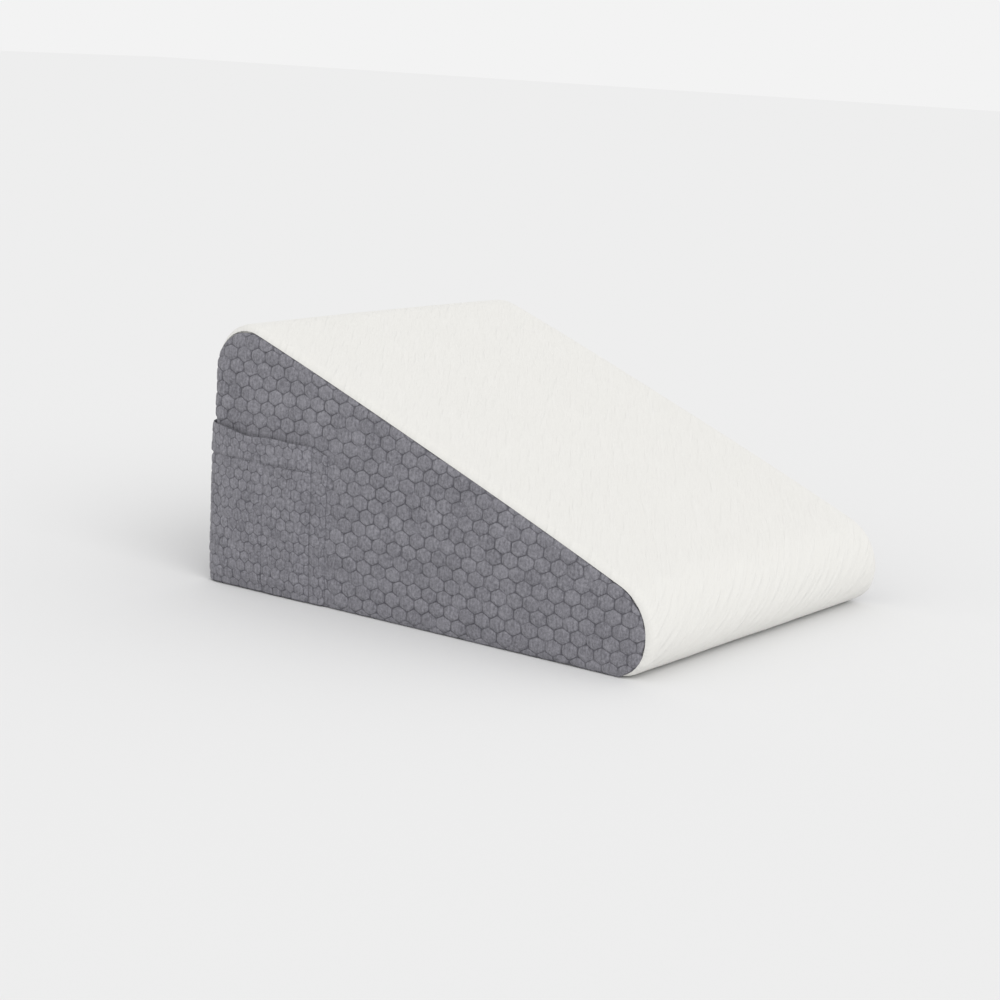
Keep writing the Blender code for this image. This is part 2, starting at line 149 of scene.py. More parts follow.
@dataclass(frozen=True)
class WedgeForm:
    """Driving dimensions of the wedge, in metres, and the surfaces worked out from them."""

    half_length: float = 0.305
    half_width: float = 0.2475
    back_height: float = 0.3236
    nose_height: float = 0.0838
    top_back_radius: float = 0.050
    nose_top_radius: float = 0.058
    nose_foot_radius: float = 0.042
    back_foot_radius: float = 0.008
    edge_bow: float = 0.0058
    crown: float = 0.0095
    foot_lift: float = 0.0006
    slope_roll: float = 0.010
    corner_radius: float = 0.0175
    foot_roll: float = 0.006
    seam_inset: float = 0.0076
    nose_inset: float = 0.0100
    panel_foot: float = 0.0008
    panel_nose_top_radius: float = 0.051
    panel_nose_foot_radius: float = 0.039
    back_seam_height: float = 0.2475

    @property
    def length(self) -> float:
        """Length of the footprint."""
        return 2.0 * self.half_length

    @property
    def corner_arc(self) -> float:
        """Length of the seam plane round one back corner."""
        return self.corner_radius * math.pi / 2.0

    @property
    def flat_back(self) -> float:
        """Half the width of the back between its two vertical seams."""
        return self.half_width - self.corner_radius

    @property
    def slope_fall(self) -> float:
        """Fall of the slope for each metre of length."""
        return (self.back_height - self.nose_height) / self.length

    @property
    def wall_length(self) -> float:
        """Length of a side panel, from the vertical back seam to the nose."""
        return self.corner_arc + self.length - self.corner_radius - self.nose_inset

    def bow(self, x: np.ndarray, amount: np.ndarray) -> np.ndarray:
        """Height by which the slope swells between its two ends, with a broad flat middle."""
        along = np.clip((x + self.half_length) / self.length, 0.0, 1.0)
        return amount * (1.0 - np.abs(2.0 * along - 1.0) ** 2.6)

    def profile(self, fine: float, coarse: float) -> np.ndarray:
        """Side outline of the white skin, counter-clockwise from the foot of the back.

        Args:
            fine: Spacing of the points on the nose and the slope.
            coarse: Spacing of the points underneath and on the back.

        Returns:
            Rows of x, z, normal x and normal z, the first repeated at the end.
        """
        foot, nose = self.foot_lift, self.half_length
        corners = [
            (-nose, foot, self.back_foot_radius, 3),
            (nose, foot, self.nose_foot_radius, math.ceil(self.nose_foot_radius * 1.5 / fine)),
            (nose, self.nose_height, self.nose_top_radius, math.ceil(self.nose_top_radius * 1.2 / fine)),
            (-nose, self.back_height, self.top_back_radius, math.ceil(self.top_back_radius * 2.0 / fine)),
        ]
        points = rounded_outline(corners)
        spacings = {0: coarse, 1: fine, 2: fine, 3: coarse}
        rows = []
        for here, following in zip(points, points[1:] + points[:1]):
            rows.append(here[:4])
            if here[4] != following[4]:
                run = math.dist(here[:2], following[:2])
                parts = max(1, round(run / spacings[here[4]]))
                way = np.subtract(following[:4], here[:4])
                rows += [tuple(np.add(here[:4], way * k / parts)) for k in range(1, parts)]
        return np.array(rows + rows[:1])

    def side_outline(self, grow: float = 0.0) -> Outline:
        """Outline of the near side panel laid flat, counter-clockwise.

        Args:
            grow: How far the outline is grown outwards, except at the back seam.

        Returns:
            Points along the wall from the vertical back seam, and up from the surface.
        """
        origin = self.corner_arc - self.corner_radius
        inset = self.seam_inset * math.hypot(1.0, self.slope_fall)

        def slope_height(along: float) -> float:
            """Height of the slope's seam before it bows."""
            return self.nose_height + (self.length + origin - along) * self.slope_fall - inset

        back_line = origin + self.seam_inset
        corners = [
            (back_line, self.panel_foot, 0.0002, 1),
            (self.wall_length, self.panel_foot, self.panel_nose_foot_radius, 9),
            (self.wall_length, slope_height(self.wall_length), self.panel_nose_top_radius, 9),
            (back_line, slope_height(back_line), self.top_back_radius - self.seam_inset, 11),
        ]
        rounded = rounded_outline(corners)
        slope_from = next(p for p in rounded[::-1] if p[4] == 2)
        slope_to = next(p for p in rounded if p[4] == 3)
        slope = [np.add(slope_from[:4], np.subtract(slope_to[:4], slope_from[:4]) * k / 14) for k in range(1, 14)]
        outline = [(0.0, self.back_seam_height + grow), (0.0, self.panel_foot - grow)]
        for along, up, normal_x, normal_z in [p[:4] for p in rounded] + slope:
            if along > self.corner_arc:
                rise = float(self.bow(along - origin - self.half_length, self.edge_bow)) * max(0.0, normal_z)
                outline.append((along + normal_x * grow, up + rise + normal_z * grow))
        return convex(outline)

    def bend_lines(self, steps: int = 8) -> list[float]:
        """Places along the wall at which a flat cloth is cut to bend round the two back corners."""
        past = [self.corner_arc * step / steps for step in range(steps + 1)]
        return past + [-2.0 * self.flat_back - along for along in past]

    def mirrored(self, outline: Outline) -> Outline:
        """The same outline on the far flank, still counter-clockwise."""
        return [(-2.0 * self.flat_back - along, up) for along, up in outline[::-1]]

    def wrap(self, flat: np.ndarray) -> np.ndarray:
        """Wraps flat points round the flanks and the back.

        Args:
            flat: Rows of the distance along from the near back seam, up from the surface, and outward from the
                seam plane. Negative distances along run over the back to the far flank.

        Returns:
            The same points in the frame.
        """
        along, up, outward = flat.T
        from_middle = along + self.flat_back
        side = np.where(from_middle >= 0.0, -1.0, 1.0)
        past = np.abs(from_middle) - self.flat_back
        turn = np.clip(past / self.corner_radius, 0.0, math.pi / 2.0)
        straight = np.maximum(past - self.corner_arc, 0.0)
        reach = self.corner_radius + outward
        x = -self.half_length + self.corner_radius - reach * np.cos(turn) + straight
        y = side * (self.flat_back + np.minimum(past, 0.0) + reach * np.sin(turn))
        return np.column_stack((x, y, up))


def rounded_outline(corners: Sequence[tuple[float, float, float, int]]) -> list[tuple[float, ...]]:
    """Rounds the corners of a counter-clockwise outline.

    Args:
        corners: Each corner's two places, its radius and its number of steps.

    Returns:
        Points with their two places, their normal and the index of their corner.
    """
    points = []
    for index, (x, z, radius, steps) in enumerate(corners):
        corner = Vector((x, z))
        before = (Vector(corners[index - 1][:2]) - corner).normalized()
        after = (Vector(corners[(index + 1) % len(corners)][:2]) - corner).normalized()
        half_angle = before.angle(after) / 2.0
        centre = corner + (before + after).normalized() * (radius / math.sin(half_angle))
        start = corner + before * (radius / math.tan(half_angle)) - centre
        for step in range(steps + 1):
            arm = Matrix.Rotation((math.pi - 2.0 * half_angle) * step / steps, 2) @ start
            normal = arm.normalized()
            points.append((centre.x + arm.x, centre.y + arm.y, normal.x, normal.y, index))
    return points


def convex(outline: Outline) -> Outline:
    """Counter-clockwise convex outline round the points."""
    ordered = sorted(set(outline))

    def chain(points: Outline) -> Outline:
        """One side of the outline."""
        kept: Outline = []
        for x, y in points:
            while len(kept) > 1:
                (ax, ay), (bx, by) = kept[-2:]
                if (bx - ax) * (y - ay) - (by - ay) * (x - ax) > 0.0:
                    break
                kept.pop()
            kept.append((x, y))
        return kept[:-1]

    return chain(ordered) + chain(ordered[::-1])


def outline_area(outline: Outline) -> float:
    """Area inside a counter-clockwise outline."""
    return sum(ax * by - bx * ay for (ax, ay), (bx, by) in zip(outline, outline[1:] + outline[:1])) / 2.0


def outline_size(outline: Outline) -> Point:
    """Width and height of an outline."""
    across, up = zip(*outline)
    return max(across) - min(across), max(up) - min(up)


def edge_distance(points: np.ndarray, outline: Outline) -> np.ndarray:
    """Distance from each point to the nearest edge of a convex outline."""
    nearest = np.full(len(points), 1.0)
    for (ax, ay), (bx, by) in zip(outline, outline[1:] + outline[:1]):
        length = math.hypot(bx - ax, by - ay)
        if length > 1e-6:
            away = ((bx - ax) * (points[:, 1] - ay) - (by - ay) * (points[:, 0] - ax)) / length
            nearest = np.minimum(nearest, away)
    return np.maximum(nearest, 0.0)


Value = Union["Signal", float]


@dataclass(frozen=True)
class Signal:
    """An output of a finish's nodes that takes part in Python expressions."""

    recipe: "Recipe"
    socket: bpy.types.NodeSocket

    def math(self, operation: str, *values: Value) -> "Signal":
        """Adds one Math node that works on the values."""
        return self.recipe.node("ShaderNodeMath", {"operation": operation}, dict(enumerate(values)))

    def __add__(self, other: Value) -> "Signal":
        """Sum of two values."""
        return self.math("ADD", self, other)

    def __sub__(self, other: Value) -> "Signal":
        """Difference of two values."""
        return self.math("SUBTRACT", self, other)

    def __mul__(self, other: Value) -> "Signal":
        """Product of two values."""
        return self.math("MULTIPLY", self, other)

    def __truediv__(self, other: Value) -> "Signal":
        """Quotient of two values."""
        return self.math("DIVIDE", self, other)

    def __abs__(self) -> "Signal":
        """Size of this value without its sign."""
        return self.math("ABSOLUTE", self)

    def wave(self) -> "Signal":
        """Sine of this value."""
        return self.math("SINE", self)

    def part(self) -> "Signal":
        """Fraction that is left of this value after its whole number."""
        return self.math("FRACT", self)

    def eased(self, low: float, high: float) -> "Signal":
        """Smooth step of this value between two limits."""
        settings = {"interpolation_type": "SMOOTHSTEP"}
        return self.recipe.node("ShaderNodeMapRange", settings, {"Value": self, "From Min": low, "From Max": high})


Colour = tuple[float, float, float]


class Recipe:
    """A finish in the making: one node material with a Principled shader."""

    def __init__(self, name: str, **constants: float) -> None:
        """Starts a material.

        Args:
            name: The material's name.
            **constants: Values of the shader's own sockets, with spaces written as underscores.
        """
        self.material = bpy.data.materials.new(name)
        self.material.use_nodes = True
        self.tree = self.material.node_tree
        self.shader = self.tree.nodes["Principled BSDF"]
        for socket, value in constants.items():
            self.shader.inputs[socket.replace("_", " ")].default_value = value

    def node(self, kind: str, settings: dict[str, object], inputs: dict[object, object], output: object = 0) -> Signal:
        """Adds one node.

        Args:
            kind: The node's type.
            settings: Its properties, set first.
            inputs: Values or links of its sockets, by name or index.
            output: The output that is returned.

        Returns:
            The output as a signal.
        """
        made = self.tree.nodes.new(kind)
        for name, value in settings.items():
            setattr(made, name, value)
        for name, value in inputs.items():
            if isinstance(value, Signal):
                self.tree.links.new(value.socket, made.inputs[name])
            else:
                made.inputs[name].default_value = value
        return Signal(self, made.outputs[output])

    def attribute(self, name: str) -> Signal:
        """Value of a mesh attribute."""
        return self.node("ShaderNodeAttribute", {"attribute_name": name}, {}, "Fac")

    def cloth_place(self) -> Signal:
        """Place on the flat cloth, in metres, from the piece's own UV map."""
        return self.node("ShaderNodeUVMap", {"uv_map": "cloth"}, {})

    def object_place(self) -> Signal:
        """Place in the frame, in metres."""
        return self.node("ShaderNodeTexCoord", {}, {}, "Object")

    def stretched(self, place: Signal, scale: tuple[float, float, float], turn: float = 0.0) -> Signal:
        """A place scaled, and turned about its third axis by an angle in radians."""
        inputs = {"Vector": place, "Scale": scale, "Rotation": (0.0, 0.0, turn)}
        return self.node("ShaderNodeMapping", {"vector_type": "TEXTURE"}, inputs)

    def speckle(self, place: Signal, size: float, detail: float = 2.0, roughness: float = 0.5) -> Signal:
        """Noise whose spots are about one size wide, from 0 to 1."""
        inputs = {"Vector": place, "Scale": 1.0 / size, "Detail": detail, "Roughness": roughness}
        return self.node("ShaderNodeTexNoise", {"noise_dimensions": "3D"}, inputs)

    def split(self, place: Signal) -> tuple[Signal, Signal]:
        """First and second part of a place."""
        first = self.node("ShaderNodeSeparateXYZ", {}, {"Vector": place}, "X")
        return first, Signal(self, first.socket.node.outputs["Y"])

    def blend(self, factor: Value, first: object, second: object) -> Signal:
        """Mixes two colours."""
        settings = {"data_type": "RGBA", "clamp_factor": True}
        inputs = {0: factor, 6: self.full(first), 7: self.full(second)}
        return self.node("ShaderNodeMix", settings, inputs, 2)

    @staticmethod
    def full(colour: object) -> object:
        """A colour with its alpha, or the link that it comes from."""
        return colour if isinstance(colour, Signal) else (*colour, 1.0)

    def bump(self, height: Signal, distance: float, strength: float, before: Union[Signal, None] = None) -> Signal:
        """Turns a height from 0 to 1 into a normal.

        Args:
            height: The height's signal.
            distance: The real height in metres of a full step.
            strength: How strongly it shows.
            before: A normal that this one is added to.

        Returns:
            The normal.
        """
        inputs = {"Height": height, "Distance": distance, "Strength": strength}
        if before is not None:
            inputs["Normal"] = before
        return self.node("ShaderNodeBump", {}, inputs)

    def finish(self, **links: Signal) -> bpy.types.Material:
        """Links the signals to the shader's sockets and returns the material."""
        for socket, signal in links.items():
            self.tree.links.new(signal.socket, self.shader.inputs[socket.replace("_", " ")])
        return self.material


def knit_height(recipe: Recipe, place: Signal, wale: float, course: float) -> Signal:
    """Height of a plain knit's loops, from 0 to 1.

    Args:
        recipe: The finish in the making.
        place: Place on the flat cloth.
        wale: Width of one column of loops.
        course: Height of one row of loops.

    Returns:
        The loops' height.
    """
    across, up = recipe.split(place)
    column = abs((across / wale).part() - 0.5) * 2.0
    yarn = (up / course + column * 0.8).part()
    ridge = (yarn * math.pi).wave()
    shoulder = (column * math.pi).wave() * 0.6 + 0.4
    return ridge * shoulder


@dataclass(frozen=True)
class WhiteKnit:
    """Soft white jersey of the cover, with the faint drawn streaks of a stretched knit."""

    shade: Colour = (0.735, 0.725, 0.693)
    light: Colour = (0.765, 0.756, 0.727)
    wale: float = 0.0013
    course: float = 0.0010
    streak_turn: float = 0.92
    streak_pitch: float = 0.0085
    streak_length: float = 0.060

    def make(self) -> bpy.types.Material:
        """Builds the material."""
        recipe = Recipe("white_knit_cloth", Roughness=0.9, Sheen_Weight=0.25, Sheen_Roughness=0.5)
        place = recipe.cloth_place()
        drift = recipe.speckle(place, 0.11, 2.0)
        streaks = recipe.stretched(place, (self.streak_length, self.streak_pitch, 1.0), self.streak_turn)
        drawn = recipe.speckle(streaks, 1.0, 2.0, 0.5).eased(0.35, 0.72)
        fuzz = recipe.speckle(place, 0.0016, 3.0, 0.6)
        colour = recipe.blend(drift * 0.45 + fuzz * 0.25 + drawn * 0.3, self.shade, self.light)
        knit = knit_height(recipe, place, self.wale, self.course)
        loops = recipe.bump(knit * 0.8 + fuzz * 0.2, 0.00022, 0.35)
        pulled = recipe.bump(drawn, 0.0012, 0.7, loops)
        return recipe.finish(Base_Color=colour, Normal=pulled)


@dataclass(frozen=True)
class HeatherQuilt:
    """Marled grey quilting cloth, with painted shade darkening its stitched grooves."""

    name: str = "grey_heather_quilt"
    dark: Colour = (0.118, 0.116, 0.133)
    light: Colour = (0.290, 0.285, 0.315)
    # Colour of the painted shade in the stitched grooves.
    groove_shade: Colour = (0.040, 0.039, 0.050)
    wale: float = 0.0014
    course: float = 0.0011

    def make(self) -> bpy.types.Material:
        """Builds the material."""
        recipe = Recipe(self.name, Roughness=0.92, Sheen_Weight=0.15, Sheen_Roughness=0.5)
        place = recipe.cloth_place()
        marl = recipe.speckle(place, 0.0032, 3.0, 0.65)
        fibre = recipe.speckle(recipe.stretched(place, (0.0007, 0.0022, 1.0)), 1.0, 2.0, 0.6)
        patch = recipe.speckle(place, 0.030, 2.0)
        tone = recipe.attribute("tone")
        pleat = recipe.speckle(recipe.stretched(place, (0.0026, 0.0085, 1.0)), 1.0, 2.0, 0.55)
        mottle = (marl - 0.5) * 1.7 + (pleat - 0.5) * 1.3 + (fibre - 0.5) * 1.0
        cloth = recipe.blend(mottle + (patch - 0.5) * 0.6 + tone * 0.08 + 0.5, self.dark, self.light)
        # Painted shade: the cloth is mixed towards the dark groove colour down in the stitched grooves.
        groove_shade_mask = recipe.attribute("groove_shade")
        colour = recipe.blend(groove_shade_mask.eased(0.2, 1.0) * 0.62, cloth, self.groove_shade)
        knit = knit_height(recipe, place, self.wale, self.course)
        loops = recipe.bump(knit * 0.6 + fibre * 0.4, 0.00030, 0.5)
        lumps = recipe.bump(marl * 0.5 + pleat * 0.5, 0.0010, 0.55, loops)
        return recipe.finish(Base_Color=colour, Normal=lumps)


@dataclass(frozen=True)
class PlainWeave:
    """Dark plain-woven cloth of the base."""

    dark: Colour = (0.085, 0.085, 0.095)
    light: Colour = (0.18, 0.18, 0.195)
    pitch: float = 0.0016

    def make(self) -> bpy.types.Material:
        """Builds the material."""
        recipe = Recipe("grey_plain_weave", Roughness=0.9, Sheen_Weight=0.1)
        place = recipe.object_place()
        across, along = recipe.split(place)
        weft = (across * (math.pi / self.pitch)).wave()
        warp = (along * (math.pi / self.pitch)).wave()
        weave = weft * warp * 0.5 + 0.5
        slub = recipe.speckle(recipe.stretched(place, (0.03, 0.0012, 1.0)), 1.0, 2.0)
        fleck = recipe.speckle(place, 0.0018, 3.0)
        mixed = (slub - 0.5) * 0.9 + (fleck - 0.5) * 0.8 + weave * 0.35 + 0.3
        colour = recipe.blend(mixed, self.dark, self.light)
        return recipe.finish(Base_Color=colour, Normal=recipe.bump(weave, 0.0003, 0.6))


@dataclass(frozen=True)
class SpunThread:
    """Twisted sewing thread."""

    dark: Colour = (0.09, 0.09, 0.10)
    light: Colour = (0.21, 0.205, 0.225)

    def make(self) -> bpy.types.Material:
        """Builds the material."""
        recipe = Recipe("grey_thread", Roughness=0.7, Sheen_Weight=0.1)
        place = recipe.object_place()
        twist = recipe.speckle(place, 0.0006, 2.0)
        colour = recipe.blend(twist, self.dark, self.light)
        return recipe.finish(Base_Color=colour, Normal=recipe.bump(twist, 0.0001, 0.5))


class Span(Enum):
    """How a cutting line treats what lies outside it."""

    CLEAR = "clear"
    KEEP = "keep"


@dataclass(frozen=True)
class CutLine:
    """A straight line on the flat cloth, from one point to the next."""

    start: Point
    end: Point
    span: Span = Span.CLEAR

    def apply(self, low: Point = (-9.0, -9.0), high: Point = (9.0, 9.0)) -> None:
        """Cuts the mesh in edit mode along this line.

        Args:
            low: Lowest corner of the faces that are cut, by their middle.
            high: Highest corner of them.
        """
        builder = bmesh.from_edit_mesh(bpy.context.object.data)
        builder.select_mode = {"FACE"}
        for face in builder.faces:
            middle = face.calc_center_median()
            inside = low[0] < middle.x < high[0] and low[1] < middle.y < high[1]
            face.select_set(inside)
        bmesh.update_edit_mesh(bpy.context.object.data)
        (ax, ay), (bx, by) = self.start, self.end
        bpy.ops.mesh.bisect(
            plane_co=(ax, ay, 0.0),
            plane_no=(by - ay, ax - bx, 0.0),
            clear_outer=self.span is Span.CLEAR,
            threshold=0.00002,
        )


@dataclass(frozen=True)
class Quilting:
    """Sizes of a stitched honeycomb, in metres."""

    cell_width: float = 0.0204
    row_step: float = 0.01425
    start: Point = (0.0096, 0.0124)
    puff: float = 0.0019
    puff_spread: float = 0.22
    stray: float = 0.00055
    drift: float = 0.0011
    dent: float = 0.00022
    seed: int = 7
    rings: tuple[tuple[float, float], ...] = ((0.91, 0.50), (0.76, 0.86), (0.48, 0.99))
    roundness: float = 0.55
    groove_fill: float = 0.45
    smallest_edge: float = 0.0007
    edge_hold: float = 0.6


class QuiltedCloth:
    """One quilted cloth: a stitched honeycomb, cut to its outline flat and puffed up cell by cell."""

    def __init__(self, name: str, form: WedgeForm, outline: Outline, quilting: Quilting) -> None:
        """Takes what the cloth is cut from.

        Args:
            name: The piece's name.
            form: The wedge that it is wrapped round.
            outline: Its convex outline, counter-clockwise, along and up the wall.
            quilting: Its honeycomb.
        """
        self.name = name
        self.form = form
        self.outline = outline
        self.quilting = quilting

    def lay_cells(self) -> bpy.types.Object:
        """Lays the honeycomb out flat, larger than the outline."""
        quilting = self.quilting
        width, step = quilting.cell_width, quilting.row_step
        along, up = zip(*self.outline)
        first_column = math.floor((min(along) - quilting.start[0]) / width) - 1
        first_pair = math.floor((min(up) - quilting.start[1]) / (2.0 * step)) - 1
        columns = math.ceil((max(along) - quilting.start[0]) / width) + 2 - first_column
        pairs = math.ceil((max(up) - quilting.start[1]) / (2.0 * step)) + 2 - first_pair
        place = (quilting.start[0] + first_column * width, quilting.start[1] + first_pair * 2.0 * step, 0.0)
        deselect_all()
        bpy.ops.mesh.primitive_circle_add(vertices=12, radius=1.0, fill_type="NGON", location=(0.0, 0.0, 0.0))
        obj = bpy.context.object
        obj.name = self.name
        obj.data.name = self.name
        places = places_of(obj.data)
        angles = np.arctan2(places[:, 0], places[:, 1])
        to_tip = np.abs((angles / (math.pi / 3.0)) - np.round(angles / (math.pi / 3.0))) * (math.pi / 3.0)
        places *= (math.cos(math.pi / 6.0) / np.cos(math.pi / 6.0 - to_tip))[:, None]
        places[:, 0] *= width / 2.0 / math.cos(math.pi / 6.0)
        places[:, 1] *= step * 2.0 / 3.0
        move_to(obj.data, places + np.array(place))
        arrays = (
            (columns, (width, 0.0, 0.0)),
            (2, (width / 2.0, step, 0.0)),
            (pairs, (0.0, 2.0 * step, 0.0)),
        )
        for count, offset in arrays:
            apply_modifier(
                obj,
                "ARRAY",
                count=count,
                use_relative_offset=False,
                use_constant_offset=True,
                constant_offset_displace=offset,
            )
        self.merge(obj, 0.0002)
        return obj

    @staticmethod
    def merge(obj: bpy.types.Object, reach: float) -> None:
        """Merges vertices that lie closer than the reach."""
        pick(obj)
        bpy.ops.object.mode_set(mode="EDIT")
        bpy.ops.mesh.select_all(action="SELECT")
        bpy.ops.mesh.remove_doubles(threshold=reach)
        bpy.ops.object.mode_set(mode="OBJECT")

    def stray_shift(self, places: np.ndarray) -> np.ndarray:
        """How far the stitched lines wander from an even honeycomb."""
        quilting = self.quilting
        random = np.random.default_rng(quilting.seed)
        shift = random.uniform(-quilting.stray, quilting.stray, places.shape)
        for axis in (0, 1):
            shift[:, axis] += quilting.drift * uneven(places, 0.055, quilting.seed + 3.7 * axis)
        shift[:, 2] = 0.0
        return shift

    def stitch_lines(self) -> list[tuple[CutLine, Point, Point]]:
        """Stitched lines that split the cells, each with the box that it runs in."""
        return []

    def cut_to_outline(self, obj: bpy.types.Object) -> None:
        """Cuts the flat honeycomb to its outline and along its stitched lines."""
        pick(obj)
        bpy.ops.object.mode_set(mode="EDIT")
        for start, end in zip(self.outline, self.outline[1:] + self.outline[:1]):
            if math.dist(start, end) > 1e-5:
                CutLine(start, end).apply()
        for line, low, high in self.stitch_lines():
            line.apply(low, high)
        bpy.ops.object.mode_set(mode="OBJECT")
        self.merge(obj, self.quilting.smallest_edge)

    def puff_share(self, places: np.ndarray) -> np.ndarray:
        """Share of the full puff at each cell's middle."""
        return np.ones(len(places))

    def puff_cells(self, obj: bpy.types.Object) -> None:
        """Raises every cell in rings, each in proportion to it, so that cells cut by the rim keep their shape."""
        quilting = self.quilting
        random = np.random.default_rng(quilting.seed + 1)
        builder = bmesh.new()
        builder.from_mesh(obj.data)
        # Mask of painted shade in the grooves: full on the stitched lattice, less where a groove is partly filled.
        groove_shade = builder.verts.layers.float.new("groove_shade")
        tone = builder.verts.layers.float.new("tone")
        crease = builder.edges.layers.float.new("crease_edge")
        for edge in builder.edges:
            edge[crease] = quilting.edge_hold
        lattice = np.array([vertex.co for vertex in builder.verts])
        fills = np.clip(1.6 * uneven(lattice, 0.013, quilting.seed + 17.0), 0.0, 1.0) * quilting.groove_fill
        for vertex, fill in zip(builder.verts, fills):
            vertex[groove_shade] = 1.0 - 1.5 * fill
            vertex.co.z = quilting.puff * fill
        full_area = quilting.cell_width * quilting.row_step
        cells = [face for face in builder.faces if face.calc_area() > 1e-8]
        middles = np.array([face.calc_center_median_weighted() for face in cells]) * np.array((1.0, 1.0, 0.0))
        shares = self.puff_share(middles)
        for face, middle, share in zip(cells, middles, shares):
            size = min(1.0, math.sqrt(face.calc_area() / full_area))
            puff = quilting.puff * share * size * (1.0 + random.uniform(-1.0, 1.0) * quilting.puff_spread)
            shade = random.uniform(-1.0, 1.0)
            lean = Vector((random.uniform(-1.0, 1.0), random.uniform(-1.0, 1.0), 0.0)) * 0.35 / quilting.cell_width
            outer = list(face.verts)
            centre = Vector(middle)
            arms = [Vector((vertex.co.x, vertex.co.y, 0.0)) - centre for vertex in outer]
            even_arm = sum(arm.length for arm in arms) / len(arms)
            shallow = sum(vertex.co.z for vertex in outer) / len(outer)
            builder.faces.remove(face)
            for scale, height in quilting.rings:
                ring = []
                for arm in arms:
                    bulge = (even_arm / max(arm.length, 1e-5)) ** (quilting.roundness * (1.2 - scale) * 2.0)
                    place = centre + arm * (scale * min(bulge, 1.04))
                    place.z = shallow * (1.0 - height) + puff * height * (1.0 + lean.dot(place - centre))
                    vertex = builder.verts.new(place)
                    # The painted groove shade fades as each ring rises up the cell's wall.
                    vertex[groove_shade] = max(0.0, 1.0 - 1.6 * height)
                    vertex[tone] = shade
                    ring.append(vertex)
                count = len(ring)
                for index in range(count):
                    following = (index + 1) % count
                    builder.faces.new((outer[index], outer[following], ring[following], ring[index]))
                outer = ring
            builder.faces.new(outer)
        builder.to_mesh(obj.data)
        builder.free()

    def rise(self, places: np.ndarray) -> np.ndarray:
        """Height of the cloth under its cells, outward from the seam plane."""
        return np.zeros(len(places))

    def raise_surface(self, obj: bpy.types.Object) -> None:
        """Adds the cloth's own shape and its small dents to the puffed cells."""
        quilting = self.quilting
        places = places_of(obj.data)
        flat = places * np.array((1.0, 1.0, 0.0))
        puffed = np.clip(places[:, 2] / quilting.puff, 0.0, 1.0)
        dents = uneven(flat, 0.0042, quilting.seed + 11.0) + 0.6 * uneven(flat, 0.0095, quilting.seed + 5.0)
        places[:, 2] += quilting.dent * dents * puffed + self.rise(flat)
        move_to(obj.data, places)

    def keep_flat_places(self, obj: bpy.types.Object) -> None:
        """Writes the flat place of every corner to the UV map that the finish reads."""
        mesh = obj.data
        while mesh.uv_layers:
            mesh.uv_layers.remove(mesh.uv_layers[0])
        layer = mesh.uv_layers.new(name="cloth")
        corners = np.empty(len(mesh.loops), dtype=np.int64)
        mesh.loops.foreach_get("vertex_index", corners)
        layer.data.foreach_set("uv", places_of(mesh)[corners, :2].ravel())

    def close_below(self, obj: bpy.types.Object, level: float) -> None:
        """Walls the cloth's rim down to one level and closes its inner face.

        Args:
            obj: The raised cloth, still flat.
            level: Height of the inner face.
        """
        builder = bmesh.new()
        builder.from_mesh(obj.data)
        rim = [edge for edge in builder.edges if edge.is_boundary]
        walls = bmesh.ops.extrude_edge_only(builder, edges=rim)["geom"]
        for item in walls:
            if isinstance(item, bmesh.types.BMVert):
                item.co.z = level
        open_edges = [edge for edge in builder.edges if edge.is_boundary]
        inner = bmesh.ops.edgeloop_fill(builder, edges=open_edges)["faces"]
        for along in self.form.bend_lines():
            geometry = set(inner)
            for face in inner:
                geometry.update(face.verts, face.edges)
            cut = bmesh.ops.bisect_plane(
                builder, geom=list(geometry), dist=0.00001, plane_co=(along, 0.0, 0.0), plane_no=(1.0, 0.0, 0.0)
            )
            inner = [item for item in cut["geom"] if isinstance(item, bmesh.types.BMFace)]
        point_outwards(builder)
        builder.to_mesh(obj.data)
        builder.free()

    def build(self) -> bpy.types.Object:
        """Makes the cloth and wraps it round the wedge."""
        obj = self.lay_cells()
        places = places_of(obj.data)
        move_to(obj.data, places + self.stray_shift(places))
        self.cut_to_outline(obj)
        self.puff_cells(obj)
        subdivide_smoothly(obj)
        self.raise_surface(obj)
        self.close(obj)
        self.keep_flat_places(obj)
        move_to(obj.data, self.form.wrap(places_of(obj.data)))
        return obj

    def close(self, obj: bpy.types.Object) -> None:
        """Closes the cloth behind."""
        self.close_below(obj, -0.003)


class WallPanel(QuiltedCloth):
    """A quilted panel sewn into the cover's recess, drawn in at its seams and crowned in its middle."""

    crown: float = 0.0025
    crown_reach: float = 0.10
    seam_draw: float = 0.0014
    draw_reach: float = 0.0065

    def panel_crown(self, places: np.ndarray) -> np.ndarray:
        """Swell of the panel towards its middle."""
        return self.crown * ease(edge_distance(places, self.outline) / self.crown_reach)

    def rise(self, places: np.ndarray) -> np.ndarray:
        """Outer level of the panel under its cells."""
        away = edge_distance(places, self.outline)
        drawn = self.seam_draw * (1.0 - ease(away / self.draw_reach))
        return self.panel_crown(places) - drawn


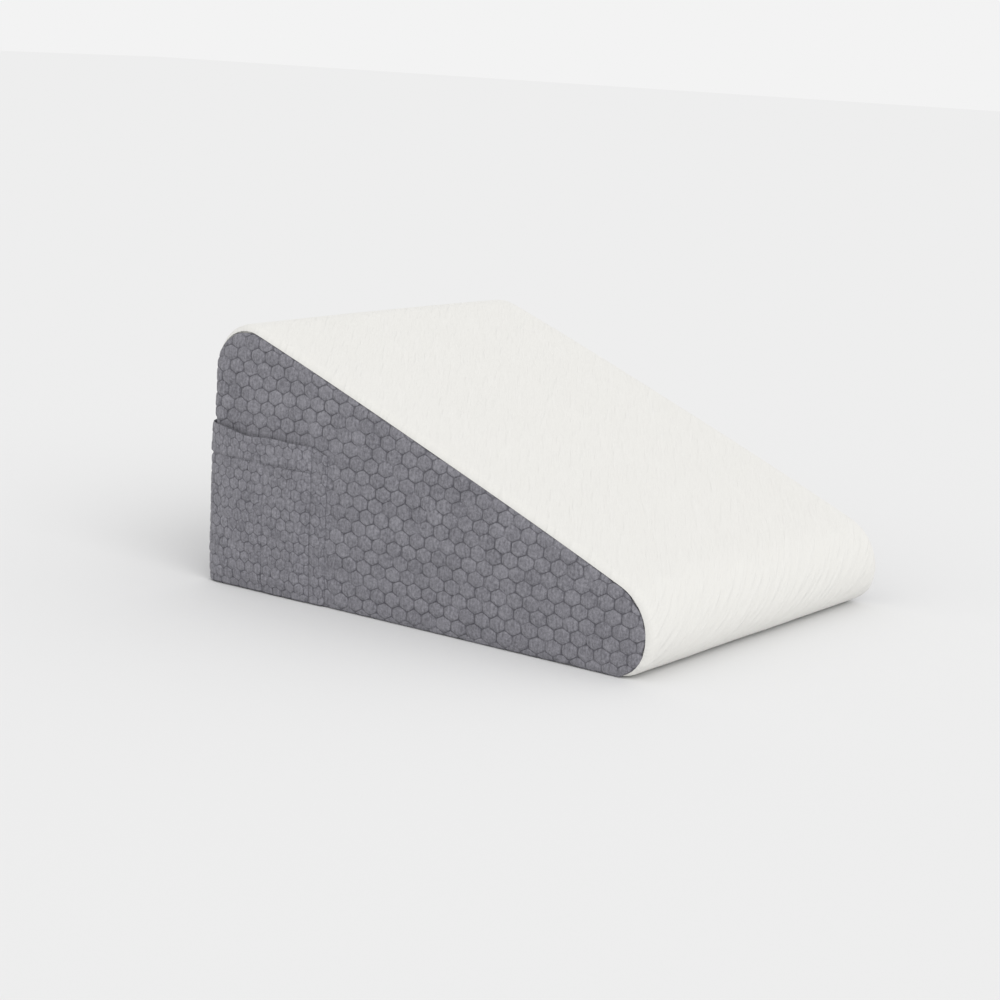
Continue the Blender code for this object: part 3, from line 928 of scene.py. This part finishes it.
@dataclass(frozen=True)
class Cover:
    """The white knit cover, filled and tight over the foam wedge."""

    form: WedgeForm
    fine: float = 0.0098
    coarse: float = 0.034
    across: float = 0.0098
    panel_thickness: float = 0.0033
    rim_clearance: float = 0.0005
    pucker_pitch: float = 0.0075
    pucker_depth: float = 0.00035
    pucker_reach: float = 0.011
    sway: float = 0.0005
    cutter_foot: float = -0.01
    cutter_reach: float = 0.02
    base_clearance: float = 0.0003
    base_corner: float = 0.0123

    def stations(self) -> np.ndarray:
        """Distances across the width, close together on the rolled edges."""
        half = self.form.half_width
        rolled = [0.0, 0.0007, 0.0020, 0.0042, 0.0075, 0.0125, 0.0195]
        inner = half - rolled[-1]
        count = round(2.0 * inner / self.across)
        even = [-inner + 2.0 * inner * k / count for k in range(1, count)]
        return np.array([-half + d for d in rolled] + even + [half - d for d in rolled[::-1]])

    def roll_inset(self, distance: np.ndarray, normal_x: np.ndarray, normal_z: np.ndarray) -> np.ndarray:
        """Inset of the outline at a distance from the flank, where the skin rolls over its edge."""
        form = self.form
        backward = np.maximum(0.0, -normal_x) ** 2
        radius = form.slope_roll + (form.corner_radius - form.slope_roll) * backward
        radius = np.where(normal_z < -0.3, form.foot_roll, radius)
        short = np.clip(radius - distance, 0.0, None)
        return radius - np.sqrt(np.maximum(radius**2 - short**2, 0.0))

    def wrapped_grid(self) -> bpy.types.Object:
        """Wraps a grid round the wedge: its first direction runs round the side outline, its second across."""
        form = self.form
        profile = form.profile(self.fine, self.coarse)
        stations = self.stations()
        deselect_all()
        bpy.ops.mesh.primitive_grid_add(x_subdivisions=len(profile) - 1, y_subdivisions=len(stations) - 1, size=1.0)
        obj = bpy.context.object
        obj.name = "wedge_cover"
        obj.data.name = "wedge_cover"
        order = np.arange(len(obj.data.vertices))
        x, z, normal_x, normal_z = profile[order % len(profile)].T
        across = stations[order // len(profile)]
        inset = self.roll_inset(form.half_width - np.abs(across), normal_x, normal_z)
        swell = form.edge_bow + (form.crown - form.edge_bow) * (1.0 - (across / form.half_width) ** 2)
        rise = form.bow(x, swell) * np.maximum(0.0, normal_z)
        places = np.column_stack((x - normal_x * inset, across, z - normal_z * inset + rise))
        move_to(obj.data, places)
        self.keep_cloth_places(obj, profile, order, across)
        QuiltedCloth.merge(obj, 0.00005)
        return obj

    @staticmethod
    def keep_cloth_places(obj: bpy.types.Object, profile: np.ndarray, order: np.ndarray, across: np.ndarray) -> None:
        """Writes each corner's place on the flat cloth to a UV map: round the outline, and across.

        Args:
            obj: The wrapped grid, before its ends are merged.
            profile: The side outline.
            order: The index of every vertex.
            across: Each vertex's place across the width.
        """
        runs = np.hypot(*np.diff(profile[:, :2], axis=0).T)
        around = np.concatenate(([0.0], np.cumsum(runs)))[order % len(profile)]
        mesh = obj.data
        while mesh.uv_layers:
            mesh.uv_layers.remove(mesh.uv_layers[0])
        layer = mesh.uv_layers.new(name="cloth")
        corners = np.empty(len(mesh.loops), dtype=np.int64)
        mesh.loops.foreach_get("vertex_index", corners)
        layer.data.foreach_set("uv", np.column_stack((around, across))[corners].ravel())

    def settle(self, obj: bpy.types.Object) -> None:
        """Adds the pull of the seams and the gentle sway of the stretched knit."""
        form = self.form
        places = places_of(obj.data)
        normals = np.empty(len(obj.data.vertices) * 3)
        obj.data.vertices.foreach_get("normal", normals)
        normals = normals.reshape(-1, 3)
        above = ease((normals[:, 2] + 0.25) / 0.5)
        distance = form.half_width - np.abs(places[:, 1])
        near_seam = np.exp(-((distance / self.pucker_reach) ** 2)) * ease((distance - 0.0004) / 0.003)
        run = (places[:, 0] - 0.8 * places[:, 2]) * (2.0 * math.pi / self.pucker_pitch)
        wander = 2.2 * uneven(places, 0.05, 3.0)
        pucker = np.sin(run + wander) * (0.6 + 0.4 * uneven(places, 0.03, 9.0))
        sway = uneven(places, 0.075, 21.0) + 0.5 * uneven(places, 0.032, 14.0)
        inward = ease((distance - 0.004) / 0.05)
        shift = self.pucker_depth * pucker * near_seam + self.sway * sway * inward
        move_to(obj.data, places + normals * (shift * above)[:, None])

    def close_flanks(self, obj: bpy.types.Object) -> None:
        """Fills the two open flanks of the wrapped grid."""
        builder = bmesh.new()
        builder.from_mesh(obj.data)
        rims = [edge for edge in builder.edges if edge.is_boundary]
        bmesh.ops.edgeloop_fill(builder, edges=rims)
        point_outwards(builder)
        builder.to_mesh(obj.data)
        builder.free()

    def recess_cutter(self) -> bpy.types.Object:
        """Shapes what is cut away for the wall panels: their joined outline, wrapped round the wedge."""
        form = self.form
        near = [
            (along, self.cutter_foot if up < form.panel_foot + 0.0001 else up)
            for along, up in form.side_outline(self.rim_clearance)
            if along > 0.001
        ]
        top = form.back_seam_height + self.rim_clearance
        outline = near + [(0.0, top), (-2.0 * form.flat_back, top)] + form.mirrored(near)
        cutter = prism("recess_cutter", outline, -self.panel_thickness, self.cutter_reach, form.bend_lines())
        move_to(cutter.data, form.wrap(places_of(cutter.data)))
        return cutter

    def base_cutter(self) -> bpy.types.Object:
        """Shapes what is cut away for the base cloth."""
        low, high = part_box("base_panel")
        grow = Vector((self.base_clearance, self.base_clearance))
        outline = rounded_rectangle(low.xy - grow, high.xy + grow, self.base_corner)
        return prism("base_cutter", outline, self.cutter_foot, high.z + self.base_clearance, [])

    def build(self, material: bpy.types.Material) -> bpy.types.Object:
        """Makes the cover and cuts the recess for its panels."""
        obj = self.wrapped_grid()
        subdivide_smoothly(obj)
        self.settle(obj)
        self.close_flanks(obj)
        for cutter in (self.recess_cutter(), self.base_cutter()):
            apply_modifier(obj, "BOOLEAN", operation="DIFFERENCE", solver="EXACT", object=cutter)
            bpy.data.objects.remove(cutter)
        finish_piece(obj, material, "white_knit", "wedge_cushion")
        return obj


def prism(
    name: str, outline: Outline, low: float, high: float, bend_lines: Sequence[float]
) -> bpy.types.Object:
    """Extrudes a flat outline to a closed solid.

    Args:
        name: The solid's name.
        outline: Its counter-clockwise outline.
        low: Level of its lower face.
        high: Level of its upper face.
        bend_lines: First places at which it is cut, so that it can bend there.

    Returns:
        The solid as an object.
    """
    builder = bmesh.new()
    face = builder.faces.new([builder.verts.new((x, y, low)) for x, y in outline])
    raised = bmesh.ops.extrude_face_region(builder, geom=[face])["geom"]
    for item in raised:
        if isinstance(item, bmesh.types.BMVert):
            item.co.z = high
    for place in bend_lines:
        everything = builder.verts[:] + builder.edges[:] + builder.faces[:]
        bmesh.ops.bisect_plane(
            builder, geom=everything, dist=0.00001, plane_co=(place, 0.0, 0.0), plane_no=(1.0, 0.0, 0.0)
        )
    point_outwards(builder)
    mesh = bpy.data.meshes.new(name)
    builder.to_mesh(mesh)
    builder.free()
    obj = bpy.data.objects.new(name, mesh)
    bpy.context.scene.collection.objects.link(obj)
    return obj


def point_outwards(builder: bmesh.types.BMesh) -> None:
    """Turns the faces of a closed shape outwards."""
    bmesh.ops.recalc_face_normals(builder, faces=builder.faces)
    if builder.calc_volume(signed=True) < 0.0:
        bmesh.ops.reverse_faces(builder, faces=builder.faces)


def rounded_rectangle(low: Vector, high: Vector, radius: float) -> Outline:
    """Counter-clockwise outline of a rectangle with rounded corners."""
    corners = [(low.x, low.y), (high.x, low.y), (high.x, high.y), (low.x, high.y)]
    return [(x, y) for x, y, *_ in rounded_outline([(*corner, radius, 6) for corner in corners])]


@dataclass(frozen=True)
class Crease:
    """A crease in a cloth, from one point to another."""

    start: Point
    end: Point
    depth: float = 0.0013
    reach: float = 0.0024

    def depth_at(self, places: np.ndarray) -> np.ndarray:
        """How deep the crease is at each place."""
        start, way = np.array(self.start), np.subtract(self.end, self.start)
        away = places[:, :2] - start
        share = np.clip(away @ way / (way @ way), 0.0, 1.0)
        distance = np.hypot(*(away - share[:, None] * way).T)
        return self.depth * np.exp(-((distance / self.reach) ** 2))


class NearPanel(WallPanel):
    """The near side panel, whose cells lie flat under the pocket and crease near the top back corner."""

    pocket_front: float = 0.190
    pocket_top: float = 0.1775
    pressed_share: float = 0.12
    row_skew: float = 0.042
    skew_from: float = 0.06
    nose_climb: float = 0.009
    climb_from: float = 0.42
    climb_length: float = 0.18
    creases: tuple[Crease, ...] = (
        Crease((0.024, 0.2615), (0.080, 0.2650)),
        Crease((0.056, 0.2520), (0.092, 0.2500)),
        Crease((0.030, 0.2330), (0.062, 0.2345), depth=0.0008),
        Crease((0.024, 0.2035), (0.074, 0.2015), depth=0.0009),
        Crease((0.090, 0.2000), (0.128, 0.1985), depth=0.0007),
        Crease((0.1925, 0.1470), (0.1975, 0.1375), depth=0.0016, reach=0.0020),
    )

    def rise(self, places: np.ndarray) -> np.ndarray:
        """Outer level of the panel, pinched along its creases."""
        return super().rise(places) - sum(crease.depth_at(places) for crease in self.creases)

    def stray_shift(self, places: np.ndarray) -> np.ndarray:
        """Rows shift a little along and climb towards the nose, as the pulled cloth does."""
        shift = super().stray_shift(places)
        shift[:, 0] += self.row_skew * np.maximum(places[:, 1] - self.skew_from, 0.0)
        climbed = np.clip((places[:, 0] - self.climb_from) / self.climb_length, 0.0, 1.5)
        shift[:, 1] += self.nose_climb * climbed**1.5
        return shift

    def puff_share(self, places: np.ndarray) -> np.ndarray:
        """Cells behind the pocket are pressed flat."""
        quilting = self.quilting
        behind = places[:, 0] < self.pocket_front + quilting.cell_width * 0.5
        below = places[:, 1] < self.pocket_top + quilting.row_step
        return np.where(behind & below, self.pressed_share, 1.0)


class PatchPocket(QuiltedCloth):
    """The patch pocket: quilted cloth with a doubled hem, a crease and a stitched front strip, open at the top."""

    crease: float = 0.098
    bag_front: float = 0.166
    front: float = 0.189
    foot: float = 0.0014
    hem_stitch: float = 0.150
    mouth_back: float = 0.1870
    mouth_front: float = 0.1780
    strip_top: float = 0.172
    cloth: float = 0.0014
    hem_extra: float = 0.0009
    gap: float = 0.0040
    corner_gap: float = 0.0018
    gap_ramp: float = 0.020
    pinch: float = 0.0013
    pinch_reach: float = 0.0040
    mouth_dip: float = 0.0042
    dip_place: float = 0.074
    dip_reach: float = 0.021
    mouth_lift: float = 0.0013
    lift_place: float = 0.155
    lift_reach: float = 0.012
    hem_rise: float = 0.0012
    hem_fall: float = 0.0006
    edge: float = 0.0004

    def __init__(self, form: WedgeForm, panel: WallPanel, quilting: Quilting) -> None:
        """Takes the wedge, the panel that the pocket is sewn on and its honeycomb."""
        self.panel = panel
        outline = [
            (self.edge, self.foot),
            (self.front, self.foot),
            (self.front, self.strip_top),
            (self.bag_front, self.mouth_front),
            (self.edge, self.mouth_back),
        ]
        super().__init__("patch_pocket", form, outline, quilting)

    def stitch_lines(self) -> list[tuple[CutLine, Point, Point]]:
        """The hem's stitching, the crease below it and the front strip's inner stitching."""
        everywhere = (9.0, 9.0)
        nowhere = (-9.0, -9.0)
        hem_end = (self.bag_front, self.hem_stitch - self.hem_fall)
        hem = CutLine((0.0, self.hem_stitch + self.hem_rise), hem_end, Span.KEEP)
        fold = CutLine((self.crease, 0.0), (self.crease + 0.001, self.hem_stitch), Span.KEEP)
        strip = CutLine((self.bag_front, 0.0), (self.bag_front, 1.0), Span.KEEP)
        return [
            (strip, nowhere, everywhere),
            (hem, nowhere, (self.bag_front, 9.0)),
            (fold, nowhere, (9.0, self.hem_stitch)),
        ]

    def cut_to_outline(self, obj: bpy.types.Object) -> None:
        """Cuts the cloth, then lets its mouth dip between its two ends."""
        super().cut_to_outline(obj)
        places = places_of(obj.data)
        free = ease((places[:, 1] - self.hem_stitch) / (self.mouth_front - self.hem_stitch))
        places[:, 1] += self.mouth_shift(places[:, 0]) * free
        move_to(obj.data, places)

    def mouth_shift(self, along: np.ndarray) -> np.ndarray:
        """How far the mouth's edge departs from a straight line."""
        dip = -self.mouth_dip * np.exp(-(((along - self.dip_place) / self.dip_reach) ** 2))
        return dip + self.mouth_lift * np.exp(-(((along - self.lift_place) / self.lift_reach) ** 2))

    def hollow(self, places: np.ndarray) -> np.ndarray:
        """Gap between the pocket and the panel."""
        along, up = places[:, 0], places[:, 1]
        arc = self.form.corner_arc
        from_front = ease((self.bag_front - along) / self.gap_ramp)
        from_foot = ease((up - self.foot) / self.gap_ramp)
        flat_share = ease((along - arc * 0.8) / self.gap_ramp)
        from_back = ease(along / (arc * 0.6))
        width = self.corner_gap * from_back + (self.gap - self.corner_gap) * flat_share
        return 0.0004 + width * from_front * from_foot

    def near_stitch(self, places: np.ndarray) -> np.ndarray:
        """How near each place is to a stitched line, from 0 to 1."""
        along, up = places[:, 0], places[:, 1]
        hem = np.where(along < self.bag_front + 0.002, np.abs(up - self.hem_stitch), 1.0)
        crease = np.where(up < self.hem_stitch, np.abs(along - self.crease) * 1.6, 1.0)
        nearest = np.minimum.reduce((hem, crease, np.abs(along - self.bag_front), np.abs(along - self.front)))
        return 1.0 - ease(nearest / self.pinch_reach)

    def rise(self, places: np.ndarray) -> np.ndarray:
        """Outer level of the pocket under its cells, with the cloth's drag lines."""
        along, up = places[:, 0], places[:, 1]
        hem = self.hem_extra * ease((up - self.hem_stitch) / 0.004) * (along < self.bag_front)
        hem = hem - 0.0005 * ease((along - self.bag_front) / (self.front - self.bag_front))
        drag = places / np.array((0.011, 0.034, 1.0))
        folds = 0.00065 * uneven(drag, 1.0, 4.0) * (1.0 - self.near_stitch(places))
        slack = 0.0008 * uneven(places, 0.045, 8.0) * ease((self.bag_front - along) / 0.02)
        level = self.panel.panel_crown(places) + self.hollow(places) + self.cloth + hem
        return level + folds + slack - self.pinch * 0.7 * self.near_stitch(places)

    def puff_share(self, places: np.ndarray) -> np.ndarray:
        """The stitched strip and the hem puff less than the bag."""
        on_strip = places[:, 0] > self.bag_front
        on_hem = places[:, 1] > self.hem_stitch
        return np.where(on_strip, 0.65, np.where(on_hem, 0.75, 1.0))

    def close(self, obj: bpy.types.Object) -> None:
        """Gives the cloth its thickness."""
        apply_modifier(obj, "SOLIDIFY", thickness=self.cloth, offset=-1.0, use_even_offset=False, use_rim=True)

    def seam_runs(self) -> list[tuple[Point, Point]]:
        """Ends of the pocket's rows of topstitching, laid flat."""
        beside = 0.0016
        return [
            ((0.004, self.hem_stitch + self.hem_rise), (self.bag_front - 0.002, self.hem_stitch - self.hem_fall)),
            ((self.bag_front + beside, 0.006), (self.bag_front + beside, self.strip_top)),
            ((self.front - beside, 0.006), (self.front - beside, self.strip_top - 0.003)),
        ]


@dataclass(frozen=True)
class Topstitch:
    """A row of sewing-thread stitches, lying in the grooves of a cloth."""

    pitch: float = 0.0034
    length: float = 0.0026
    thickness: float = 0.00055

    def build(self, name: str, form: WedgeForm, cloth: PatchPocket) -> bpy.types.Object:
        """Sews every row of a cloth.

        Args:
            name: The piece's name.
            form: The wedge that the cloth is wrapped round.
            cloth: The cloth that is sewn.

        Returns:
            All stitches as one object.
        """
        deselect_all()
        bpy.ops.mesh.primitive_uv_sphere_add(segments=8, ring_count=6, radius=0.5, location=(0.0, 0.0, 0.0))
        obj = bpy.context.object
        obj.name = name
        obj.data.name = name
        stitch = bmesh.new()
        stitch.from_mesh(obj.data)
        rows = bmesh.new()
        for start, end in cloth.seam_runs():
            way = Vector(end) - Vector(start)
            count = math.floor(way.length / self.pitch)
            for index in range(count):
                middle = Vector(start) + way * ((index + 0.5) / count)
                self.sew(rows, stitch, middle, way.normalized(), cloth)
        rows.to_mesh(obj.data)
        rows.free()
        stitch.free()
        move_to(obj.data, form.wrap(places_of(obj.data)))
        return obj

    def sew(
        self, rows: bmesh.types.BMesh, stitch: bmesh.types.BMesh, middle: Vector, way: Vector, cloth: PatchPocket
    ) -> None:
        """Adds one stitch.

        Args:
            rows: The mesh that takes it.
            stitch: The shape of a stitch, lengthwise along its third axis.
            middle: Its middle on the flat cloth.
            way: The row's direction.
            cloth: The cloth, for its level there.
        """
        across = Vector((-way.y, way.x))
        level = float(cloth.rise(np.array([(middle.x, middle.y, 0.0)]))[0])
        made = {}
        for vertex in stitch.verts:
            long, wide, high = vertex.co.z * self.length, vertex.co.x * self.thickness, vertex.co.y * self.thickness
            flat = middle + way * long + across * wide
            sag = 0.25 * self.thickness - 0.9 * self.thickness * (2.0 * vertex.co.z) ** 4
            made[vertex] = rows.verts.new((flat.x, flat.y, level + sag + high))
        for face in stitch.faces:
            rows.faces.new([made[vertex] for vertex in face.verts])


@dataclass(frozen=True)
class BaseCloth:
    """The plain woven base, with its turned edge."""

    corner_radius: float = 0.012
    turned_edge: float = 0.009
    turned_height: float = 0.0005

    def build(self) -> bpy.types.Object:
        """Makes the cloth inside its CAD box: a plate with rounded corners, thicker along its turned edge."""
        low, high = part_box("base_panel")
        size = high - low
        deselect_all()
        bpy.ops.mesh.primitive_plane_add(size=1.0, location=(0.0, 0.0, 0.0))
        obj = bpy.context.object
        obj.name = "base_cloth"
        obj.data.name = "base_cloth"
        places = places_of(obj.data)
        middle = (low + high) / 2.0
        places = places * np.array((size.x, size.y, 1.0)) + np.array((middle.x, middle.y, low.z))
        move_to(obj.data, places)
        bpy.ops.object.mode_set(mode="EDIT")
        bpy.ops.mesh.select_all(action="SELECT")
        bpy.ops.mesh.bevel(offset=self.corner_radius, segments=8, affect="VERTICES")
        bpy.ops.mesh.select_all(action="SELECT")
        bpy.ops.mesh.extrude_region_move(TRANSFORM_OT_translate={"value": (0.0, 0.0, size.z)})
        self.select_level(low.z)
        bpy.ops.mesh.inset(thickness=0.0006, depth=0.0)
        bpy.ops.mesh.inset(thickness=self.turned_edge, depth=0.0)
        bpy.ops.mesh.inset(thickness=0.0006, depth=-self.turned_height)
        bpy.ops.object.mode_set(mode="OBJECT")
        builder = bmesh.new()
        builder.from_mesh(obj.data)
        point_outwards(builder)
        builder.to_mesh(obj.data)
        builder.free()
        return obj

    @staticmethod
    def select_level(level: float) -> None:
        """Selects only the flat faces at one height."""
        builder = bmesh.from_edit_mesh(bpy.context.object.data)
        for face in builder.faces:
            flat = abs(face.normal.z) > 0.99
            face.select_set(flat and abs(face.calc_center_median().z - level) < 0.0002)
        bmesh.update_edit_mesh(bpy.context.object.data)


@dataclass(frozen=True)
class PhotoCamera:
    """The photograph's viewpoint, in metres and degrees."""

    target: tuple[float, float, float] = (-0.0324, -0.0525, 0.1118)
    azimuth: float = 35.5
    elevation: float = 11.27
    roll: float = 3.06
    lens: float = 82.78
    distance: float = 2.6449

    def place(self) -> None:
        """Makes the scene's camera."""
        azimuth, elevation, roll = (math.radians(v) for v in (self.azimuth, self.elevation, self.roll))
        level = math.cos(elevation)
        back = Vector((math.sin(azimuth) * level, -math.cos(azimuth) * level, math.sin(elevation)))
        right = Vector((math.cos(azimuth), math.sin(azimuth), 0.0))
        up = back.cross(right)
        turned_right = right * math.cos(roll) + up * math.sin(roll)
        turned_up = up * math.cos(roll) - right * math.sin(roll)
        rotation = Matrix((turned_right, turned_up, back)).transposed().to_4x4()
        data = bpy.data.cameras.new("photo_camera")
        data.lens = self.lens
        data.sensor_width = 36.0
        data.clip_end = 100.0
        camera = bpy.data.objects.new("photo_camera", data)
        camera.matrix_world = Matrix.Translation(Vector(self.target) + back * self.distance) @ rotation
        bpy.context.scene.collection.objects.link(camera)
        bpy.context.scene.camera = camera


@dataclass(frozen=True)
class Studio:
    """Plain pale floor and soft even light."""

    sky: float = 0.896
    floor_shade: Colour = (0.80, 0.80, 0.80)
    floor_size: float = 60.0
    sun: float = 0.95
    sun_spread: float = 40.0
    sun_from: tuple[float, float, float] = (1.1, -0.55, 0.85)

    def build(self) -> None:
        """Makes the floor, the world and the light."""
        deselect_all()
        bpy.ops.mesh.primitive_plane_add(size=self.floor_size, location=(0.0, 0.0, 0.0))
        floor = bpy.context.object
        floor.name = "studio_floor"
        recipe = Recipe("studio_floor", Roughness=0.9, Specular_IOR_Level=0.0)
        recipe.shader.inputs["Base Color"].default_value = (*self.floor_shade, 1.0)
        floor.data.materials.append(recipe.material)
        world = bpy.data.worlds.new("studio")
        world.use_nodes = True
        background = world.node_tree.nodes["Background"]
        background.inputs["Color"].default_value = (1.0, 1.0, 1.0, 1.0)
        background.inputs["Strength"].default_value = self.sky
        bpy.context.scene.world = world
        data = bpy.data.lights.new("soft_key", "SUN")
        data.energy = self.sun
        data.angle = math.radians(self.sun_spread)
        light = bpy.data.objects.new("soft_key", data)
        light.rotation_mode = "QUATERNION"
        light.rotation_quaternion = Vector(self.sun_from).to_track_quat("Z", "Y")
        light.location = (2.0, 1.0, 3.0)
        bpy.context.scene.collection.objects.link(light)
        settings = bpy.context.scene.view_settings
        settings.view_transform = "Standard"
        settings.look = "None"
        settings.exposure = 0.0
        settings.gamma = 1.0


@dataclass
class Pillow:
    """The whole pillow, built piece by piece."""

    form: WedgeForm = field(default_factory=WedgeForm)

    def build(self) -> None:
        """Builds every piece."""
        cover = Cover(self.form).build(WhiteKnit().make())
        quilt = HeatherQuilt().make()
        outline = self.form.side_outline()
        near = NearPanel("near_side_panel", self.form, outline, Quilting())
        first, row = Quilting.start
        far_start = (-2.0 * self.form.flat_back - first, row)
        far = WallPanel("far_side_panel", self.form, self.form.mirrored(outline), Quilting(start=far_start, seed=19))
        half = self.form.flat_back
        low, high = self.form.panel_foot, self.form.back_seam_height
        edge = 0.0006
        rectangle = [(-2.0 * half + edge, low), (-edge, low), (-edge, high), (-2.0 * half + edge, high)]
        back = WallPanel("rear_panel", self.form, rectangle, Quilting(start=(-half, row), seed=31))
        panels = {"side_panel_near": near, "side_panel_far": far, "back_panel": back}
        for node, panel in panels.items():
            obj = panel.build()
            finish_piece(obj, quilt, "grey_quilt", node)
        self.build_pocket(near)
        base = BaseCloth().build()
        finish_piece(base, PlainWeave().make(), "grey_plain", "base_panel")
        low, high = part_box("base_panel")

    def build_pocket(self, panel: WallPanel) -> None:
        """Sews the patch pocket to the near panel."""
        quilting = Quilting(
            cell_width=0.0132,
            row_step=0.0117,
            start=(0.003, 0.004),
            puff=0.0013,
            puff_spread=0.35,
            stray=0.0011,
            drift=0.0016,
            dent=0.00025,
            seed=43,
            rings=((0.88, 0.60), (0.58, 0.97)),
        )
        pocket = PatchPocket(self.form, panel, quilting)
        obj = pocket.build()
        finish_piece(obj, HeatherQuilt(name="grey_heather_pocket").make(), "grey_quilt", "side_pocket")
        thread = Topstitch().build("pocket_topstitching", self.form, pocket)
        finish_piece(thread, SpunThread().make(), "grey_quilt")
        width, height = outline_size(pocket.outline)
        turned = pocket.mouth_front - pocket.hem_stitch
        area = outline_area(pocket.outline) + turned * pocket.bag_front
        height + turned


def main() -> None:
    """Builds the camera, the pillow and the studio in order."""
    logging.basicConfig(level=logging.INFO, format="%(message)s")
    PhotoCamera().place()
    Pillow().build()
    Studio().build()


if __name__ == "__main__":
    main()
